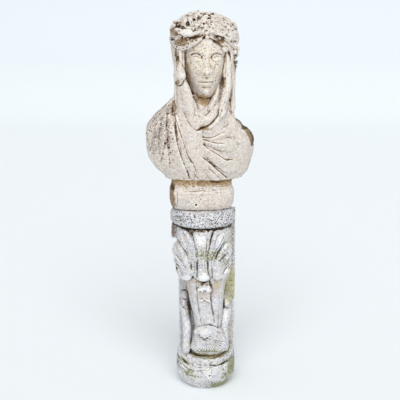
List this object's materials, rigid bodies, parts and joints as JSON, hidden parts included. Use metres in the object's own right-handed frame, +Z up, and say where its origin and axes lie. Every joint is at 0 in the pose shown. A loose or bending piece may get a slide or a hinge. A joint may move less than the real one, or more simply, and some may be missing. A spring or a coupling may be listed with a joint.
{
  "type": "stone bust on a console pedestal",
  "caption": "Weathered stone bust of a veiled woman in a leaf wreath, on its own carved console pedestal with a shell leaf and a round base, flat behind.",
  "frame": {"origin": "on the ground, under the pedestal's round base, on the axis of the pedestal", "axes": "+Z up, -Y to the front, +X to the right as seen from the front"},
  "size_m": [0.3393, 0.2293, 1.2243],
  "materials": {
    "bust_stone": "cream and pinkish limestone, carved and long weathered: pitted, ochre stains in the hollows, dark lichen specks",
    "pedestal_stone": "grey-white limestone, rough and weathered: dark specks on the cap, green moss on the shell, slab and base"
  },
  "bodies": {
    "root": {"veiled_bust": "bust_stone", "console_pedestal": "pedestal_stone"}
  },
  "joints": []
}
